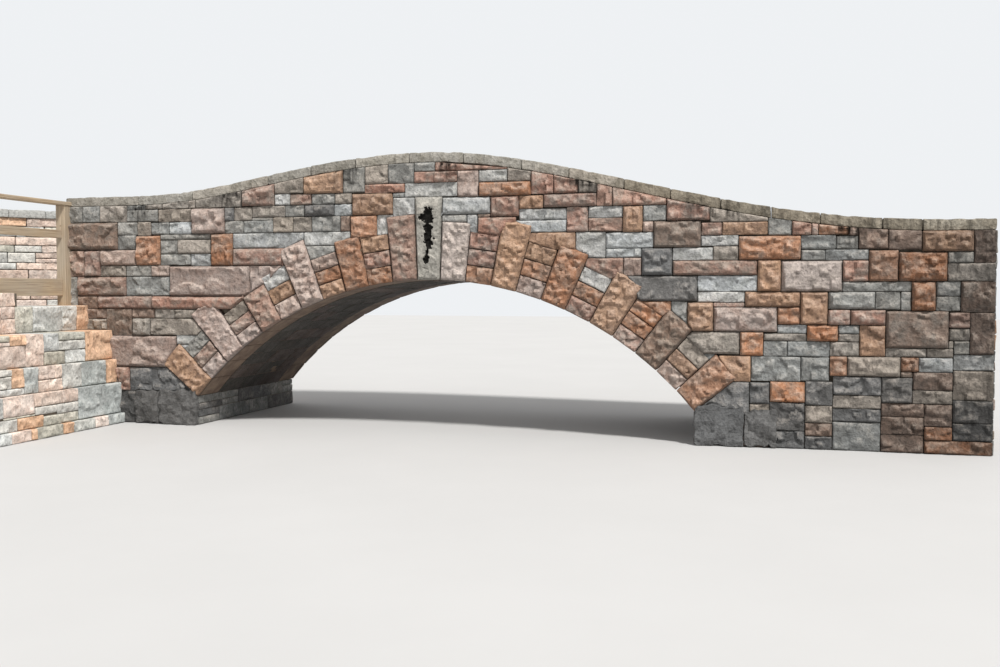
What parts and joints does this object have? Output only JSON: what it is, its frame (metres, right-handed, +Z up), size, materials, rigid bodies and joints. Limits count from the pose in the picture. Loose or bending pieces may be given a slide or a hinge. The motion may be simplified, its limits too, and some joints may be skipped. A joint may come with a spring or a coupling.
{
  "type": "stone arch footbridge",
  "caption": "Small stone footbridge: one low segmental arch under S-curved coped parapets, with a stepped bank wall, a timber rail fence and a curved approach wall.",
  "frame": {"origin": "middle of the bounding box at stream level, where every wall stands", "axes": "+X along the bridge towards its lower right end, +Y from the pictured face to the far face, +Z up"},
  "size_m": [11.915, 4.265, 2.8149],
  "materials": {
    "core_stone": "smooth tan dressed stone of the soffit, rubble fill behind",
    "paving_stone": "worn grey flagstones",
    "face_stone": "rock-faced random ashlar in salmon, buff and grey with dark joints",
    "ring_stone": "pitched rock-faced salmon stone",
    "keystone_grey": "grey rock-faced stone with a black cleft",
    "coping_stone": "rock-faced grey-buff slabs with dark drip stains",
    "footing_stone": "rough dark wet stone",
    "wing_stone": "pale squared stone in grey, cream and pink",
    "fence_timber": "sawn softwood, unpainted, slightly weathered"
  },
  "bodies": {
    "root": {"vault": "core_stone", "left_abutment": "core_stone", "right_abutment": "core_stone", "deck": "paving_stone", "front_wall_left": "face_stone", "front_wall_crown": "face_stone", "front_wall_right": "face_stone", "back_wall_left": "face_stone", "back_wall_crown": "face_stone", "back_wall_right": "face_stone", "front_packs_left": "face_stone", "front_packs_right": "face_stone", "back_packs_left": "face_stone", "back_packs_right": "face_stone", "approach_wall_lead": "face_stone", "approach_wall_curve": "face_stone", "front_long_stones_left": "ring_stone", "front_long_stones_right": "ring_stone", "back_long_stones_left": "ring_stone", "back_long_stones_right": "ring_stone", "front_keystone": "keystone_grey", "back_keystone": "keystone_grey", "front_coping_left": "coping_stone", "front_coping_crown": "coping_stone", "front_coping_right": "coping_stone", "back_coping_left": "coping_stone", "back_coping_crown": "coping_stone", "back_coping_right": "coping_stone", "approach_coping_lead": "coping_stone", "approach_coping_curve": "coping_stone", "left_footing": "footing_stone", "right_footing": "footing_stone", "wing_wall": "wing_stone", "fence_posts": "fence_timber", "fence_cap": "fence_timber", "fence_middle_rail": "fence_timber", "fence_lower_board": "fence_timber", "fence_batten": "fence_timber"}
  },
  "joints": []
}
